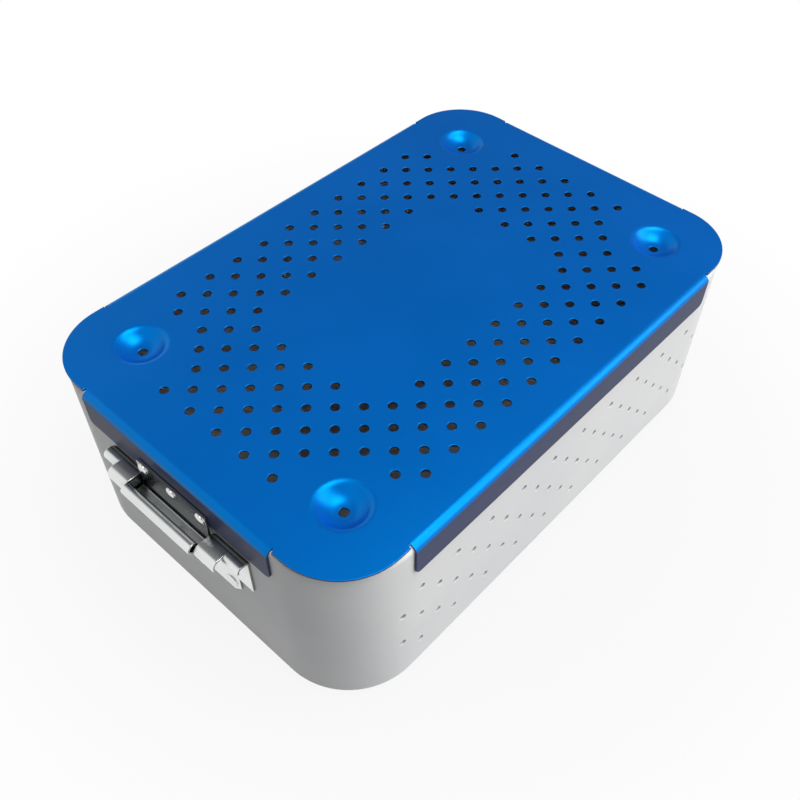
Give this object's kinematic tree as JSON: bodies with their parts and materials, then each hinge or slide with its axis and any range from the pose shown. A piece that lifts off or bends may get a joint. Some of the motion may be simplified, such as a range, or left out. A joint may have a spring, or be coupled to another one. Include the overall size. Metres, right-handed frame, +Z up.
{
  "type": "sterilization container",
  "caption": "Rounded rectangular metal instrument case: vented lift-off lid with corner stacking dimples, vented long walls and a sprung latch on each short side.",
  "frame": {"origin": "centre of the footprint at the level the feet stand on", "axes": "+X along the long side to the right latch, +Y along the short side, +Z up"},
  "size_m": [0.3254, 0.203, 0.1045],
  "materials": {
    "blue_anodised": "blue anodised, fine satin",
    "natural_aluminium": "clear anodised, satin",
    "polished_steel": "polished stainless steel",
    "fastener_steel": "turned stainless steel",
    "spring_steel": "drawn stainless spring wire"
  },
  "bodies": {
    "base": {"base_wall": "natural_aluminium", "base_floor": "natural_aluminium", "left_latch_bracket": "polished_steel", "left_bracket_rivets": "fastener_steel", "left_hinge_pin": "fastener_steel", "left_torsion_spring": "spring_steel", "right_latch_bracket": "polished_steel", "right_bracket_rivets": "fastener_steel", "right_hinge_pin": "fastener_steel", "right_torsion_spring": "spring_steel"},
    "lid": {"lid": "blue_anodised"},
    "left_latch": {"left_latch_lever": "polished_steel", "left_lock_studs": "fastener_steel"},
    "right_latch": {"right_latch_lever": "polished_steel", "right_lock_studs": "fastener_steel"}
  },
  "joints": [
    {"name": "lid_lift", "type": "slide", "parent": "base", "child": "lid", "axis": [0, 0, 1], "range_m": [0, 0.12]},
    {"name": "left_latch_swing", "type": "hinge", "parent": "base", "child": "left_latch", "pos_m": [-0.1545, 0, 0.0695], "axis": [0, -1, 0], "range_deg": [0, 70], "stiffness_Nm_per_rad": 0.05, "springref_deg": -28.65, "deforming": ["left_torsion_spring"]},
    {"name": "right_latch_swing", "type": "hinge", "parent": "base", "child": "right_latch", "pos_m": [0.1545, 0, 0.0695], "axis": [0, 1, 0], "range_deg": [0, 70], "stiffness_Nm_per_rad": 0.05, "springref_deg": -28.65, "deforming": ["right_torsion_spring"]}
  ]
}
